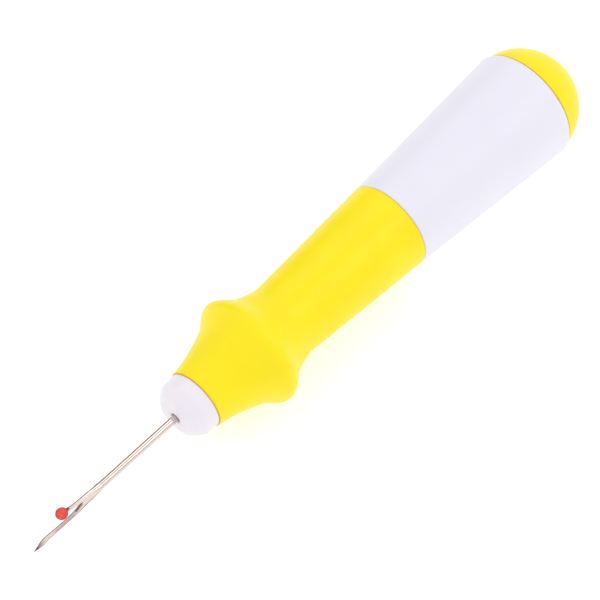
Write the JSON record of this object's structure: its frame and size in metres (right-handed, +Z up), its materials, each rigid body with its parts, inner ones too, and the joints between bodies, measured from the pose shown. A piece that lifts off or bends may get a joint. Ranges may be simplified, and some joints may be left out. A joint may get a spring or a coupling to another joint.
{
  "type": "seam ripper",
  "caption": "Hand-held seam ripper: a steel fork blade with a long pointed tine and a red-balled short tine, in a thick round handle with a soft grip, finger stop and domed end.",
  "frame": {"origin": "on the surface the tool lies on, under the middle of its overall length", "axes": "+X along the handle's axis from the point to the domed end, +Z up, the fork in the upright XZ plane with the ball above"},
  "size_m": [0.1454, 0.024, 0.024],
  "materials": {
    "blade_steel": "nickel-plated, fine lengthwise grind",
    "ball_red": "gloss",
    "nose_white": "satin",
    "core_white": "semi-gloss",
    "grip_yellow": "soft matt",
    "plug_grey": "as moulded",
    "dome_yellow": "soft matt"
  },
  "bodies": {
    "root": {"blade": "blade_steel", "ball_tip": "ball_red", "blade_holder": "nose_white", "handle_core": "core_white", "front_grip": "grip_yellow", "end_plug": "plug_grey", "end_dome": "dome_yellow"}
  },
  "joints": []
}
